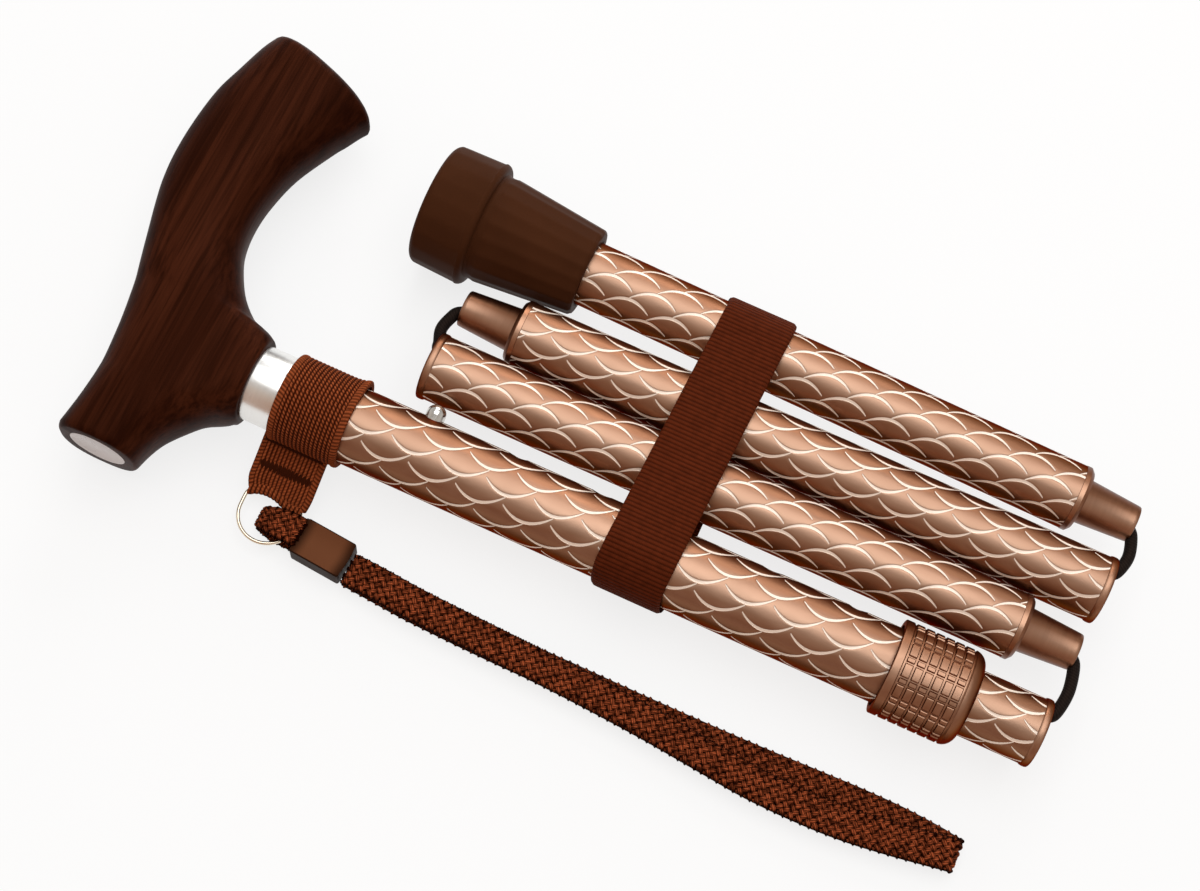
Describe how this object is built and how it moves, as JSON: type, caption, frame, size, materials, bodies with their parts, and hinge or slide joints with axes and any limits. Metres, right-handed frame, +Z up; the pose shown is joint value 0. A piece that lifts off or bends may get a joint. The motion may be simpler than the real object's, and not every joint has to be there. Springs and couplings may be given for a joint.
{
  "type": "folding cane",
  "caption": "Folding walking cane with a derby handle, height-adjustable upper shaft, elastic-corded plug joints, rubber tip and wrist strap, shown folded in its retaining band.",
  "frame": {"origin": "under the middle of the folded bundle, on the ground it lies on, without the wrist strap", "axes": "+X along the folded sections, away from the handle; +Y across the bundle, from the upper shaft towards the section with the rubber tip; +Z up"},
  "size_m": [0.2932, 0.145, 0.0374],
  "materials": {
    "wood": "satin stained wood",
    "badge": "plain gloss disc",
    "tube_metal": "bronze anodised, engraved scallops",
    "fitting_metal": "bronze anodised, turned",
    "stem_metal": "mill finish",
    "bright_metal": "polished",
    "black_plastic": "moulded",
    "spring_steel": "bright steel",
    "ring_metal": "champagne plated wire",
    "webbing": "ribbed elastic webbing",
    "braid": "chunky braid",
    "strap_clip": "dark moulded clip",
    "band": "ribbed elastic",
    "elastic_cord": "braided elastic",
    "tip_rubber": "matt rubber"
  },
  "bodies": {
    "upper": {"handle_grip": "wood", "handle_badge": "badge", "handle_stem": "stem_metal", "handle_ferrule": "bright_metal", "upper_tube": "tube_metal", "collet_bush": "black_plastic", "strap_webbing": "webbing"},
    "lock_collar": {"lock_collar": "fitting_metal"},
    "section_1": {"inner_tube": "tube_metal", "top_guide": "black_plastic", "cord_anchor_1": "black_plastic", "shock_cord_1": "elastic_cord", "socket_1": "fitting_metal"},
    "snap_clip": {"snap_clip": "spring_steel"},
    "link_1": {"fold_cord_1": "elastic_cord"},
    "section_2": {"plug_2": "fitting_metal", "tube_2": "tube_metal", "shock_cord_2": "elastic_cord", "socket_2": "fitting_metal"},
    "link_2": {"fold_cord_2": "elastic_cord"},
    "section_3": {"plug_3": "fitting_metal", "tube_3": "tube_metal", "shock_cord_3": "elastic_cord", "socket_3": "fitting_metal"},
    "link_3": {"fold_cord_3": "elastic_cord"},
    "section_4": {"plug_4": "fitting_metal", "tube_4": "tube_metal", "shock_cord_4": "elastic_cord", "cord_anchor_4": "black_plastic", "tip_washer": "spring_steel", "rubber_tip": "tip_rubber"},
    "wrist_strap": {"strap_ring": "ring_metal", "strap_eye": "braid", "strap_clip": "strap_clip", "wrist_strap": "braid"},
    "retaining_band": {"retaining_band": "band"}
  },
  "joints": [
    {"name": "height_adjust", "type": "slide", "parent": "upper", "child": "section_1", "axis": [1, 0, 0], "range_m": [0, 0.127], "deforming": ["snap_clip"]},
    {"name": "button_press", "type": "slide", "parent": "section_1", "child": "snap_clip", "axis": [0, -0.9397, -0.342], "range_m": [0, 0.0052], "stiffness_N_per_m": 900, "deforming": ["snap_clip"]},
    {"name": "lock_turn", "type": "hinge", "parent": "upper", "child": "lock_collar", "pos_m": [0.09483, -0.0314, 0.0187], "axis": [1, 0, 0], "range_deg": [0, 270]},
    {"name": "seat_1", "type": "slide", "parent": "section_1", "child": "link_1", "axis": [-1, 0, 0], "range_m": [0, 0.0161], "deforming": ["fold_cord_1", "fold_cord_2", "fold_cord_3"]},
    {"name": "fold_1", "type": "hinge", "parent": "link_1", "child": "section_2", "pos_m": [0.14062, -0.0187, 0.0187], "axis": [0, 0, -1], "range_deg": [0, 180], "deforming": ["fold_cord_1"]},
    {"name": "seat_2", "type": "slide", "parent": "section_2", "child": "link_2", "axis": [1, 0, 0], "range_m": [0, 0.0161]},
    {"name": "fold_2", "type": "hinge", "parent": "link_2", "child": "section_3", "pos_m": [-0.05337, 0.00385, 0.0187], "axis": [0, 0, 1], "range_deg": [0, 180], "deforming": ["fold_cord_2"]},
    {"name": "seat_3", "type": "slide", "parent": "section_3", "child": "link_3", "axis": [-1, 0, 0], "range_m": [0, 0.0161]},
    {"name": "fold_3", "type": "hinge", "parent": "link_3", "child": "section_4", "pos_m": [0.14297, 0.02455, 0.0187], "axis": [0, 0, -1], "range_deg": [0, 178.9], "deforming": ["fold_cord_3"]},
    {"name": "strap_swing", "type": "hinge", "parent": "upper", "child": "wrist_strap", "pos_m": [0, -0.0564, 0.0042], "axis": [-1, 0, 0], "range_deg": [0, 70]},
    {"name": "band_off", "type": "slide", "parent": "upper", "child": "retaining_band", "axis": [1, 0, 0], "range_m": [0, 0.15], "deforming": ["retaining_band"]}
  ],
  "couplings": [
    {"joint": "seat_2", "follows": "seat_1", "ratio": 1},
    {"joint": "seat_3", "follows": "seat_1", "ratio": 1},
    {"joint": "fold_2", "follows": "fold_1", "ratio": 1},
    {"joint": "fold_3", "follows": "fold_1", "ratio": 0.99389}
  ]
}
